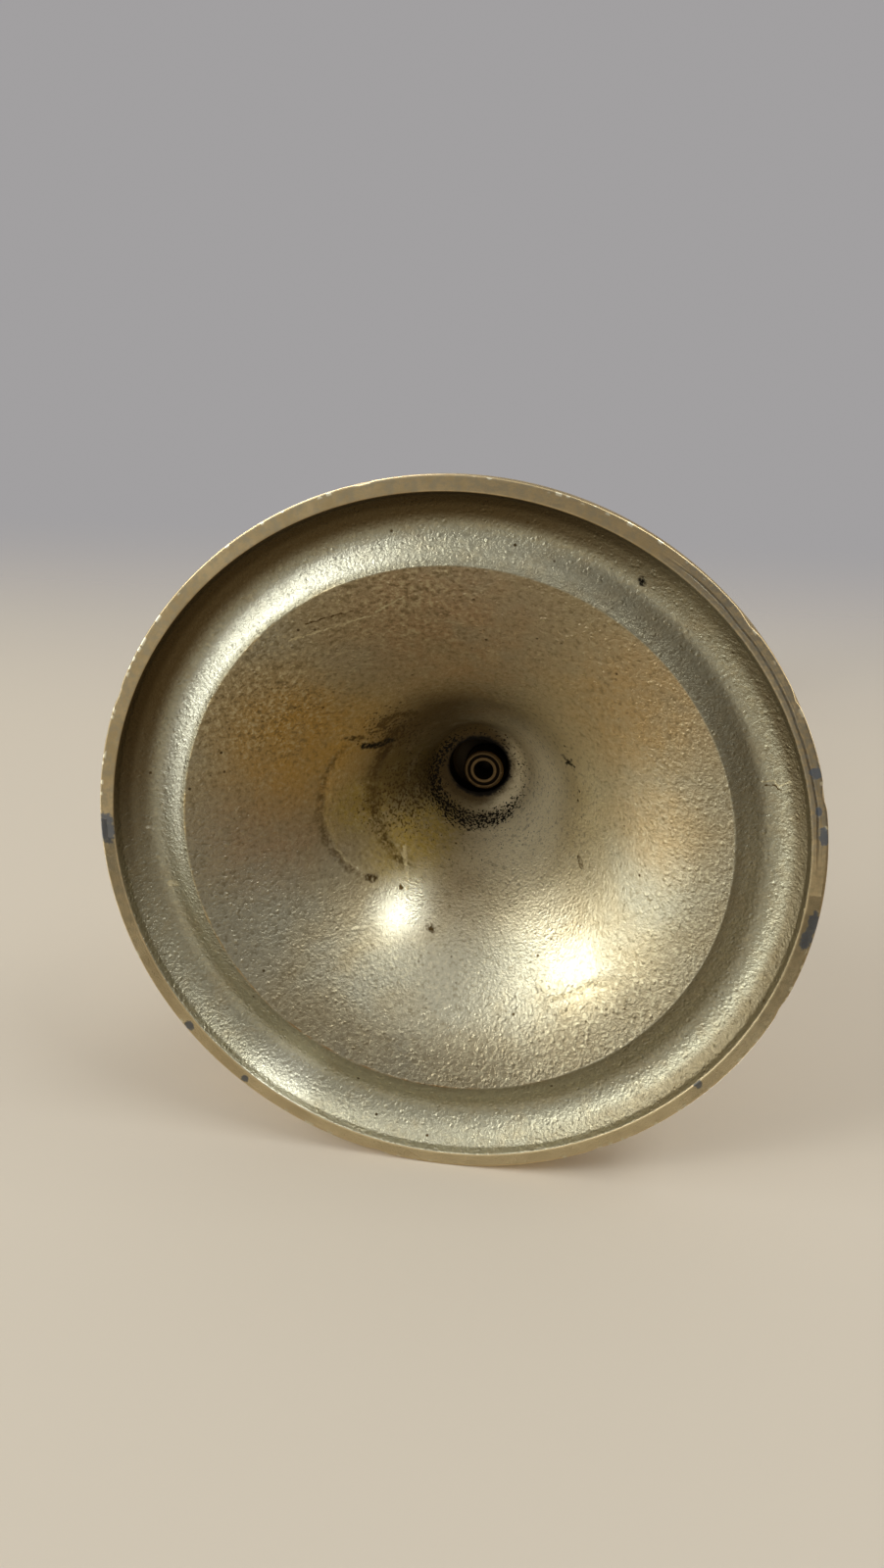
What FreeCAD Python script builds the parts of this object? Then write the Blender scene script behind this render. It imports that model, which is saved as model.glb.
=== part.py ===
"""A brass candlestick: a hollow cast foot, a turned stem clamped on a tie rod, and a lift-out nozzle.

Millimetres, +Z up. The origin is the centre of the rim's flat face, which stands on the table.
Every piece but the threads is a solid of revolution about the Z axis. Outlines are drawn in the
XZ plane, anticlockwise: out along the bottom, up the outside, in along the top, down the inside.
"""

import FreeCAD
import Part
import math
import os
import re

import Sketcher

DIMENSIONS = {
    # Foot: the rim stands on the table, and a channel runs inside it round a raised ridge.
    "foot_radius": 60.0,
    "foot_height": 60.0,
    "rim_inner": 57.5,
    "rim_band": 2.6,
    "shoulder_bend": 6.7,
    "shoulder_radius": 53.3,
    "shoulder_height": 9.4,
    "slope_bend": 6.0,
    "slope_radius": 50.6,
    "slope_height": 8.75,
    "valley_outer": 46.2,
    "valley_inner": 44.2,
    "valley_height": 6.5,
    "trumpet_base": 7.7,
    "trumpet_bend": 80.1,
    "neck_radius": 8.8,
    "neck_height": 54.5,
    "neck_cove": 2.7,
    "neck_lip": 11.6,
    "neck_lip_height": 57.0,
    "seat_radius": 12.0,
    "channel_wall": 57.1,
    "channel_wall_height": 1.57,
    "channel_wall_bend": 10.3,
    "channel_bed": 53.2,
    "channel_bed_height": 5.15,
    "channel_bed_bend": 3.63,
    "channel_flank": 49.9,
    "channel_flank_height": 5.18,
    "ridge_radius": 46.2,
    "ridge_height": 3.3,
    "funnel_bend": 79.2,
    "funnel_top_radius": 10.2,
    "funnel_top_height": 44.17,
    "ceiling_radius": 6.94,
    "ceiling_bend": 3.5,
    "pit_radius": 6.0,
    "pit_mouth": 46.4,
    "pit_floor": 50.4,
    # Tie rod: an 8 mm rod with a thread at each end, turned between centres.
    "rod_radius": 4.0,
    "rod_bottom": 45.6,
    "rod_chamfer": 0.5,
    "rod_bore": 4.05,
    "centre_mouth": 2.3,
    "centre_cone": 2.25,
    "pilot_radius": 1.0,
    "pilot_depth": 4.6,
    # Base collar: a bead between two flats.
    "collar_height": 6.0,
    "collar_flat": 11.4,
    "collar_bead": 2.4,
    # Lower baluster: a vase that is widest above its middle.
    "lower_height": 42.0,
    "lower_foot": 10.4,
    "lower_fillet": 1.6,
    "lower_neck": 6.8,
    "lower_neck_height": 6.4,
    "lower_belly": 13.8,
    "lower_belly_height": 25.6,
    "lower_throat": 7.2,
    "lower_throat_height": 37.0,
    "lower_head": 9.8,
    "lower_head_height": 40.2,
    # Centre knop: a flattened ball between two fillets.
    "knop_height": 21.0,
    "knop_fillet": 1.5,
    "knop_fillet_radius": 10.2,
    "knop_waist": 8.6,
    "knop_radius": 15.8,
    "knop_line": 0.45,
    # Upper baluster: slim, widest below its middle.
    "upper_height": 35.0,
    "upper_foot": 9.8,
    "upper_fillet": 1.5,
    "upper_neck": 6.4,
    "upper_neck_height": 5.6,
    "upper_belly": 9.6,
    "upper_belly_height": 14.0,
    "upper_throat": 6.0,
    "upper_throat_height": 29.0,
    "upper_head": 8.8,
    "upper_head_height": 33.2,
    # Neck ring: a thin round-edged disc.
    "ring_height": 4.0,
    "ring_flat": 11.2,
    "ring_bead": 1.5,
    # Candle socket: a vase cup. Its bore takes the nozzle's tube.
    "socket_height": 34.0,
    "socket_foot": 8.6,
    "socket_fillet": 1.4,
    "socket_neck": 7.4,
    "socket_neck_height": 3.4,
    "socket_belly": 17.4,
    "socket_belly_height": 15.0,
    "socket_throat": 15.6,
    "socket_throat_height": 28.0,
    "socket_lip": 17.6,
    "socket_lip_height": 31.2,
    "socket_bore": 13.1,
    "socket_floor": 8.0,
    # Nozzle: a wide pan on a closed tube, which lifts out of the socket.
    "lift_gap": 0.15,
    "pan_hole": 12.82,
    "pan_seat": 19.0,
    "pan_wall": 1.8,
    "pan_dish": 35.0,
    "pan_rise": 3.3,
    "pan_under_bend": 56.0,
    "pan_upper_bend": 54.0,
    "pan_radius": 36.6,
    "pan_edge": 1.1,
    "tube_radius": 12.8,
    "tube_chamfer": 1.2,
    "tube_bottom_gap": 1.5,
    "tube_floor": 2.0,
    "tube_bead": 14.9,
    "tube_bead_height": 2.2,
    "tube_waist": 13.2,
    "tube_waist_height": 4.2,
    "tube_lip": 14.4,
    "tube_top": 6.6,
    "candle_radius": 11.2,
    "candle_chamfer": 0.7,
}

# Where each turned piece sits on the rod: the stack is clamped between the foot and the socket.
COLLAR_BASE = "foot_height"
LOWER_BASE = f"{COLLAR_BASE} + collar_height"
KNOP_BASE = f"{LOWER_BASE} + lower_height"
UPPER_BASE = f"{KNOP_BASE} + knop_height"
RING_BASE = f"{UPPER_BASE} + upper_height"
SOCKET_BASE = f"{RING_BASE} + ring_height"
PAN_BASE = f"{SOCKET_BASE} + socket_height + lift_gap"
TUBE_BASE = f"{SOCKET_BASE} + socket_floor + tube_bottom_gap"
ROD_TOP = f"{SOCKET_BASE} + socket_floor - rod_chamfer"

doc = FreeCAD.newDocument("candlestick")
dims = doc.addObject("Spreadsheet::Sheet", "dims")


def fill_sheet():
    """One row for each driving dimension: its name, and its value under that alias."""
    for row, (name, value) in enumerate(DIMENSIONS.items(), start=1):
        dims.set(f"A{row}", name)
        dims.set(f"B{row}", str(value))
        dims.setAlias(f"B{row}", name)
    doc.recompute()


def formula(text):
    """The expression with each dimension's name written as a reference to its cell."""
    names = r"[a-z]+(?:_[a-z]+)+"
    return re.sub(names, lambda found: f"dims.{found.group(0)}", text)


def size(text):
    """What the expression comes to, in millimetres."""
    return float(dims.evalExpression(formula(text)))


# An outline is a start point and then edges. Each edge function takes the point before it and gives
# a list of (radius, height, bend): the next points, and the bend radius of the arc that leads to each.
# Bend is None on a straight edge, and starts with a minus where the outline turns clockwise.


def line(radius, height):
    return lambda start: [(radius, height, None)]


def arc(radius, height, bend):
    return lambda start: [(radius, height, bend)]


def swell(radius, height):
    """An arc out from a fillet that is upright where it ends, at the widest point."""
    def edge(start):
        out = f"(({radius}) - ({start[0]}))"
        rise = f"(({height}) - ({start[1]}))"
        return [(radius, height, f"({out}^2 + {rise}^2) / (2 * {out})")]
    return edge


def shrink(radius, height):
    """An arc in to a fillet that is upright where it starts, at the widest point."""
    def edge(start):
        out = f"(({start[0]}) - ({radius}))"
        rise = f"(({height}) - ({start[1]}))"
        return [(radius, height, f"({out}^2 + {rise}^2) / (2 * {out})")]
    return edge


def ogee(radius, height):
    """Two equal tangent arcs, upright at both ends, that meet half way."""
    def edge(start):
        out = f"(({radius}) - ({start[0]}))"
        rise = f"(({height}) - ({start[1]}))"
        bend = f"({out}^2 + {rise}^2) / (4 * {out})"
        middle = (f"({start[0]}) + {out} / 2", f"({start[1]}) + {rise} / 2")
        return [(*middle, f"-({bend})"), (radius, height, bend)]
    return edge


def points_of(start, edges):
    """The outline's points in order, each with the bend of the edge that leads to it."""
    points = [(*start, None)]
    for edge in edges:
        points.extend(edge(points[-1][:2]))
    return points


def arc_between(start, end, bend):
    """The short arc between two points. It turns anticlockwise where bend is positive."""
    chord = end - start
    middle = (start + end) / 2
    left = FreeCAD.Vector(-chord.y, chord.x, 0).normalize()
    reach = math.sqrt(bend ** 2 - (chord.Length / 2) ** 2)
    centre = middle + left * math.copysign(reach, bend)
    angles = [math.atan2(p.y - centre.y, p.x - centre.x) for p in (start, end)]
    if bend < 0:
        angles.reverse()
    circle = Part.Circle(centre, FreeCAD.Vector(0, 0, 1), abs(bend))
    return Part.ArcOfCircle(circle, *angles)


def add_outline(sketch, points):
    """Draws the closed outline and ties every point and bend to its formula."""
    places = [FreeCAD.Vector(size(r), size(z), 0) for r, z, _ in points]
    count = len(points)
    starts = []
    ends = []
    for index in range(count):
        after = (index + 1) % count
        bend = points[after][2]
        if bend is None:
            edge = sketch.addGeometry(Part.LineSegment(places[index], places[after]), False)
            forward = True
        else:
            edge = sketch.addGeometry(arc_between(places[index], places[after], size(bend)), False)
            forward = size(bend) > 0
            add_size(sketch, f"bend_{index}", f"abs({bend})", "Radius", edge)
        starts.append((edge, 1 if forward else 2))
        ends.append((edge, 2 if forward else 1))
    for index in range(count):
        sketch.addConstraint(Sketcher.Constraint("Coincident", *ends[index - 1], *starts[index]))
    for index, (radius, height, _) in enumerate(points):
        place_on(sketch, f"radius_{index}", radius, "DistanceX", -2, starts[index])
        place_on(sketch, f"height_{index}", height, "DistanceY", -1, starts[index])


def place_on(sketch, name, text, kind, axis, point):
    """Ties a point's distance from the origin to a formula, or puts it on the axis at zero."""
    if text == "0":
        sketch.addConstraint(Sketcher.Constraint("PointOnObject", *point, axis))
    else:
        add_size(sketch, name, text, kind, -1, 1, *point)


def add_size(sketch, name, text, kind, *geometry):
    """One dimension of the sketch, bound to its formula."""
    index = sketch.addConstraint(Sketcher.Constraint(kind, *geometry, size(text)))
    sketch.renameConstraint(index, name)
    sketch.setExpression(f"Constraints.{name}", formula(text))


def origin_plane(body, role):
    return next(feature for feature in body.Origin.OriginFeatures if feature.Role == role)


def turned(name, start, edges, base="0"):
    """A sub-part turned about Z: a body with one outline in its XZ plane, revolved, at height base."""
    body = doc.addObject("PartDesign::Body", name)
    body.Label = name
    sketch = body.newObject("Sketcher::SketchObject", f"{name}_outline")
    sketch.AttachmentSupport = [(origin_plane(body, "XZ_Plane"), "")]
    sketch.MapMode = "FlatFace"
    doc.recompute()
    add_outline(sketch, points_of(start, edges))
    revolution = body.newObject("PartDesign::Revolution", f"{name}_turned")
    revolution.Profile = sketch
    revolution.ReferenceAxis = (sketch, ["V_Axis"])
    revolution.Angle = 360
    body.Tip = revolution
    sketch.Visibility = False
    if base != "0":
        body.setExpression("Placement.Base.z", formula(base))
    return body


def foot():
    """The hollow casting: rounded edge, valley, trumpet rising to a slim neck, and the same shape inside."""
    return turned("foot", ("rim_inner", "0"), [
        line("foot_radius", "0"),
        line("foot_radius", "rim_band"),
        arc("shoulder_radius", "shoulder_height", "shoulder_bend"),
        arc("slope_radius", "slope_height", "slope_bend"),
        line("valley_outer", "valley_height"),
        line("valley_inner", "valley_height"),
        line("valley_inner", "trumpet_base"),
        arc("neck_radius", "neck_height", "-trumpet_bend"),
        arc("neck_lip", "neck_lip_height", "-neck_cove"),
        line("seat_radius", "neck_lip_height"),
        line("seat_radius", "foot_height"),
        line("rod_bore", "foot_height"),
        line("rod_bore", "pit_floor"),
        line("pit_radius", "pit_floor"),
        line("pit_radius", "pit_mouth"),
        line("ceiling_radius", "pit_mouth"),
        arc("funnel_top_radius", "funnel_top_height", "-ceiling_bend"),
        arc("ridge_radius", "ridge_height", "funnel_bend"),
        line("channel_flank", "channel_flank_height"),
        arc("channel_bed", "channel_bed_height", "-channel_bed_bend"),
        arc("channel_wall", "channel_wall_height", "-channel_wall_bend"),
    ])


def tie_rod():
    """The rod through the stack, with a 60 degree centre drilled in its lower end."""
    cone_top = "rod_bottom + centre_cone"
    pilot_top = "rod_bottom + pilot_depth"
    return turned("tie_rod", ("centre_mouth", "rod_bottom"), [
        line("rod_radius - rod_chamfer", "rod_bottom"),
        line("rod_radius", "rod_bottom + rod_chamfer"),
        line("rod_radius", f"{ROD_TOP} - rod_chamfer"),
        line("rod_radius - rod_chamfer", ROD_TOP),
        line("0", ROD_TOP),
        line("0", pilot_top),
        line("pilot_radius", pilot_top),
        line("pilot_radius", cone_top),
    ])


def bead_disc(name, flat, bead, height, base):
    """A ring on the rod whose edge is a half-round bead."""
    middle = f"{height} / 2"
    return turned(name, ("rod_bore", "0"), [
        line(flat, "0"),
        line(flat, f"{middle} - {bead}"),
        arc(f"{flat} + {bead}", middle, bead),
        arc(flat, f"{middle} + {bead}", bead),
        line(flat, height),
        line("rod_bore", height),
    ], base)


def lower_baluster():
    return turned("lower_baluster", ("rod_bore", "0"), [
        line("lower_foot", "0"),
        line("lower_foot", "lower_fillet"),
        arc("lower_neck", "lower_neck_height", "-(lower_neck_height - lower_fillet)"),
        ogee("lower_belly", "lower_belly_height"),
        ogee("lower_throat", "lower_throat_height"),
        arc("lower_head", "lower_head_height", "-(lower_head_height - lower_throat_height)"),
        line("lower_head", "lower_height"),
        line("rod_bore", "lower_height"),
    ], LOWER_BASE)


def centre_knop():
    """A flattened ball between two fillets, with a line scribed round its widest part."""
    middle = "knop_height / 2"
    return turned("centre_knop", ("rod_bore", "0"), [
        line("knop_fillet_radius", "0"),
        line("knop_fillet_radius", "knop_fillet"),
        line("knop_waist", "knop_fillet"),
        swell("knop_radius", f"{middle} - knop_line"),
        line("knop_radius - knop_line", middle),
        line("knop_radius", f"{middle} + knop_line"),
        shrink("knop_waist", "knop_height - knop_fillet"),
        line("knop_fillet_radius", "knop_height - knop_fillet"),
        line("knop_fillet_radius", "knop_height"),
        line("rod_bore", "knop_height"),
    ], KNOP_BASE)


def upper_baluster():
    return turned("upper_baluster", ("rod_bore", "0"), [
        line("upper_foot", "0"),
        line("upper_foot", "upper_fillet"),
        arc("upper_neck", "upper_neck_height", "-(upper_neck_height - upper_fillet)"),
        ogee("upper_belly", "upper_belly_height"),
        ogee("upper_throat", "upper_throat_height"),
        arc("upper_head", "upper_head_height", "-(upper_head_height - upper_throat_height)"),
        line("upper_head", "upper_height"),
        line("rod_bore", "upper_height"),
    ], UPPER_BASE)


def candle_socket():
    """The vase cup. Its threaded lower bore is the nut that clamps the stack."""
    return turned("candle_socket", ("rod_bore", "0"), [
        line("socket_foot", "0"),
        line("socket_foot", "socket_fillet"),
        arc("socket_neck", "socket_neck_height", "-(socket_neck_height - socket_fillet)"),
        swell("socket_belly", "socket_belly_height"),
        ogee("socket_throat", "socket_throat_height"),
        ogee("socket_lip", "socket_lip_height"),
        line("socket_lip", "socket_height"),
        line("socket_bore", "socket_height"),
        line("socket_bore", "socket_floor"),
        line("rod_bore", "socket_floor"),
    ], SOCKET_BASE)


def drip_pan():
    """A shallow dish with a rolled edge, which rests on the socket's lip."""
    return turned("drip_pan", ("pan_hole", "0"), [
        line("pan_seat", "0"),
        arc("pan_dish", "pan_rise", "pan_under_bend"),
        line("pan_radius - pan_edge", "pan_rise"),
        arc("pan_radius", "pan_rise + pan_edge", "pan_edge"),
        arc("pan_radius - pan_edge", "pan_rise + 2 * pan_edge", "pan_edge"),
        line("pan_dish - pan_edge / 2", "pan_rise + 2 * pan_edge"),
        arc("pan_seat", "pan_wall", "-pan_upper_bend"),
        line("pan_hole", "pan_wall"),
    ], PAN_BASE)


def candle_tube():
    """The closed tube that holds the candle, with a bead on the pan and a flared lip."""
    bead_base = f"{PAN_BASE} + pan_wall - ({TUBE_BASE})"
    bead_top = f"{bead_base} + tube_bead_height"
    top = f"{bead_base} + tube_top"
    bead = "tube_bead_height / 2"
    return turned("candle_tube", ("0", "0"), [
        line("tube_radius - tube_chamfer", "0"),
        line("tube_radius", "tube_chamfer"),
        line("tube_radius", bead_base),
        line(f"tube_bead - {bead}", bead_base),
        arc("tube_bead", f"{bead_base} + {bead}", bead),
        arc(f"tube_bead - {bead}", bead_top, bead),
        line("tube_waist", bead_top),
        line("tube_waist", f"{bead_base} + tube_waist_height"),
        arc("tube_lip", f"{top} - tube_chamfer", "-tube_bead_height"),
        line("tube_lip", top),
        line("candle_radius + candle_chamfer", top),
        line("candle_radius", f"{top} - candle_chamfer"),
        line("candle_radius", "tube_floor"),
        line("0", "tube_floor"),
    ], TUBE_BASE)


def check_document():
    """Stops the script if any object failed or any sketch has a size left open."""
    for item in doc.Objects:
        if "Invalid" in item.State or "Error" in item.State:
            raise RuntimeError(f"{item.Name} failed: {item.State}")
        if item.TypeId == "Sketcher::SketchObject" and not item.FullyConstrained:
            raise RuntimeError(f"{item.Name} isn't fully constrained")


def check_solid(body):
    shape = body.Shape
    if shape.isNull() or not shape.isValid():
        raise RuntimeError(f"{body.Label} has no valid shape")
    if len(shape.Solids) != 1:
        raise RuntimeError(f"{body.Label} should be one solid, not {len(shape.Solids)}")


fill_sheet()
pieces = [
    foot(),
    tie_rod(),
    bead_disc("base_collar", "collar_flat", "collar_bead", "collar_height", COLLAR_BASE),
    lower_baluster(),
    centre_knop(),
    upper_baluster(),
    bead_disc("neck_ring", "ring_flat", "ring_bead", "ring_height", RING_BASE),
    candle_socket(),
    drip_pan(),
    candle_tube(),
]
doc.recompute()
check_document()
os.makedirs("parts", exist_ok=True)
for piece in pieces:
    check_solid(piece)
    piece.Shape.exportStep(f"parts/{piece.Label}.step")
    box = piece.Shape.optimalBoundingBox()
    volume = piece.Shape.Volume / 1000
    print(f"{piece.Label}: {volume:.2f} cm3, r {box.XMax:.2f}, z {box.ZMin:.2f} to {box.ZMax:.2f}")
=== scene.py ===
"""The looks of the brass candlestick: a sand-cast foot, a turned stem and a lift-out nozzle.

The candlestick stands upright in the frame, and the main camera looks up into the hollow of its
foot from below. Outlines are in millimetres, as (radius, height); everything else is in metres.
"""

import math

import bpy
import numpy as np
from mathutils import Matrix, Vector, noise
from mathutils.geometry import intersect_point_line


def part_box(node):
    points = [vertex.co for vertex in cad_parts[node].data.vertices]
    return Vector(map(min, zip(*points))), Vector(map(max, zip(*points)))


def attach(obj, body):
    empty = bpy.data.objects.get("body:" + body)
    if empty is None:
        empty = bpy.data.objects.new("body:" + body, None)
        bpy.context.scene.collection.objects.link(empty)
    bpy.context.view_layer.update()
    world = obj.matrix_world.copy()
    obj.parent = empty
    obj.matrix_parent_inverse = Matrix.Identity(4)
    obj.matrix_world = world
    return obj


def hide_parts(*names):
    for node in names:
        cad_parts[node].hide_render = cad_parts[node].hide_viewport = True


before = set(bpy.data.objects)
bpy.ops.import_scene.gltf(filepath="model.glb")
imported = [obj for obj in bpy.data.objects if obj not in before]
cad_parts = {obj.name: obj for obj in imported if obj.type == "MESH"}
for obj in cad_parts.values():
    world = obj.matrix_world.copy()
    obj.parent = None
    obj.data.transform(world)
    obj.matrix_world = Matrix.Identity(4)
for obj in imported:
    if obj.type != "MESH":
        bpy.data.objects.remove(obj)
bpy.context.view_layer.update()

MM = 0.001
STEM_SEGMENTS = 192
FOOT_SEGMENTS = 336
ROD_SEGMENTS = 96
TINY = 1e-6  # a length, in millimetres, that counts as none
WIDEST_TURN = 0.16  # the most that an arc turns along one edge, in radians
SHARP_TURN = 0.35  # the least turn of a corner that is rounded, in radians
BORE = 4.05  # the radius of the hole for the rod
PAN_THICKNESS = 1.8
DISH_RADIUS = 46.3  # the hollow's dish ends at the ridge, and the channel lies outside it


# ---------------------------------------------------------------- outlines


class Outline:
    """A closed outline drawn anticlockwise in the (radius, height) plane, with a region for each edge."""

    def __init__(self, radius, height, step=1.0):
        self.points = [(radius, height)]
        self.edges = []
        self.region = 0
        self.step = step

    def paint(self, region):
        """The edges that follow belong to this material region."""
        self.region = region
        return self

    def line(self, radius, height):
        self.points.append((radius, height))
        self.edges.append((self.region, self.step))
        return self

    def arc(self, radius, height, bend):
        """The short arc to a point. It turns anticlockwise where bend is positive."""
        start = Vector(self.points[-1])
        end = Vector((radius, height))
        chord = end - start
        left = Vector((-chord.y, chord.x)).normalized()
        reach = math.sqrt(bend * bend - chord.length_squared / 4)
        centre = (start + end) / 2 + left * math.copysign(reach, bend)
        turn = 2 * math.asin(chord.length / 2 / abs(bend)) * math.copysign(1, bend)
        count = max(3, round(abs(turn * bend) / self.step), round(abs(turn) / WIDEST_TURN))
        spoke = start - centre
        for index in range(1, count + 1):
            angle = turn * index / count
            turned = Matrix.Rotation(angle, 2) @ spoke
            self.line(centre.x + turned.x, centre.y + turned.y)
        return self

    def upright(self, radius, height):
        """An arc that stands upright at its wider end, between a fillet and a belly."""
        start = self.points[-1]
        out = abs(radius - start[0])
        bend = (out ** 2 + (height - start[1]) ** 2) / (2 * out)
        return self.arc(radius, height, bend)

    def ogee(self, radius, height):
        """Two equal tangent arcs, upright at both ends."""
        start = self.points[-1]
        out = radius - start[0]
        rise = height - start[1]
        bend = (out ** 2 + rise ** 2) / (4 * out)
        self.arc(start[0] + out / 2, start[1] + rise / 2, -bend)
        return self.arc(radius, height, bend)

    def softened(self, size):
        """The outline with its sharp corners rounded, and long straight edges divided near their ends."""
        count = len(self.points)
        edges = self.edges + [(self.region, self.step)]
        points = []
        areas = []
        for index in range(count):
            here = Vector(self.points[index])
            before = Vector(self.points[index - 1])
            after = Vector(self.points[(index + 1) % count])
            area = edges[index]
            if here.x < TINY:
                points.append(here)
                areas.append(area)
                continue
            back = before - here
            ahead = after - here
            turn = math.pi - back.angle(ahead)
            if turn < SHARP_TURN:
                points.append(here)
                areas.append(area)
                continue
            reach = min(size, 0.35 * back.length, 0.35 * ahead.length)
            start = here + back.normalized() * reach
            end = here + ahead.normalized() * reach
            for share in (-0.6, 0, 0.25, 0.5, 0.75, 1, 1.6):
                if share < 0:
                    place = start + back.normalized() * reach * -share
                elif share > 1:
                    place = end + ahead.normalized() * reach * (share - 1)
                else:
                    place = start.lerp(here, share).lerp(here.lerp(end, share), share)
                points.append(place)
                areas.append(edges[index - 1] if share < 0.5 else area)
        return divided(points, areas)


def divided(points, edges):
    """The points, with every edge cut to at most its step, and the region of each edge."""
    done = []
    kinds = []
    for index, point in enumerate(points):
        after = points[(index + 1) % len(points)]
        region, step = edges[index]
        axial = point.x < TINY and after.x < TINY
        pieces = 1 if axial else max(1, round((after - point).length / step))
        for part in range(pieces):
            done.append(point.lerp(after, part / pieces))
            kinds.append(region)
    return done, kinds


def hollowness_of(points):
    """How hollow the outline is at each point, from 0 on a ridge to 1 in a groove."""
    count = len(points)
    hollows = []
    for index in range(count):
        total = 0
        for reach in (2, 4, 7):
            before = points[index - reach] - points[index]
            after = points[(index + reach) % count] - points[index]
            if before.length < TINY or after.length < TINY:
                continue
            total += before.normalized().cross(-after.normalized())
        hollows.append(min(1, max(0, 0.5 - 0.4 * total)))
    return hollows


def lathe(name, outline, segments, soft=0.25, lift=0.0, shape=None):
    """A closed mesh turned about Z from an outline, lifted to its place, with a hollow attribute for tarnish.

    shape, if given, moves the mesh's points. It takes their places in millimetres, the outline's points,
    the mesh's points that each of these makes, and the region of each.
    """
    points, kinds = outline.softened(soft)
    hollows = hollowness_of(points)
    turns = np.linspace(0, 2 * math.pi, segments, endpoint=False)
    places = []
    faces = []
    face_kinds = []
    vertex_hollow = []
    rings = []
    for point, hollow in zip(points, hollows):
        if point.x < TINY:
            rings.append([len(places)] * segments)
            places.append((0, 0, point.y))
            vertex_hollow.append(hollow)
            continue
        first = len(places)
        rings.append(list(range(first, first + segments)))
        places.extend((point.x * math.cos(t), point.x * math.sin(t), point.y) for t in turns)
        vertex_hollow.extend([hollow] * segments)
    for index in range(len(points)):
        lower = rings[index]
        upper = rings[(index + 1) % len(points)]
        if lower[0] == lower[1] and upper[0] == upper[1]:
            continue
        for side in range(segments):
            after = (side + 1) % segments
            corners = [lower[side], lower[after], upper[after], upper[side]]
            faces.append([c for i, c in enumerate(corners) if c != corners[i - 1]])
            face_kinds.append(kinds[index])
    places = np.array(places, float)
    if shape:
        places = shape(places, points, rings, kinds)
    places[:, 2] += lift
    mesh = bpy.data.meshes.new(name)
    mesh.from_pydata([tuple(p) for p in places * MM], [], faces)
    mesh.polygons.foreach_set("material_index", face_kinds)
    mesh.polygons.foreach_set("use_smooth", [True] * len(faces))
    attribute = mesh.attributes.new("hollow", "FLOAT", "POINT")
    attribute.data.foreach_set("value", vertex_hollow)
    mesh.update()
    piece = bpy.data.objects.new(name, mesh)
    bpy.context.scene.collection.objects.link(piece)
    return piece


# ---------------------------------------------------------------- materials


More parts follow.
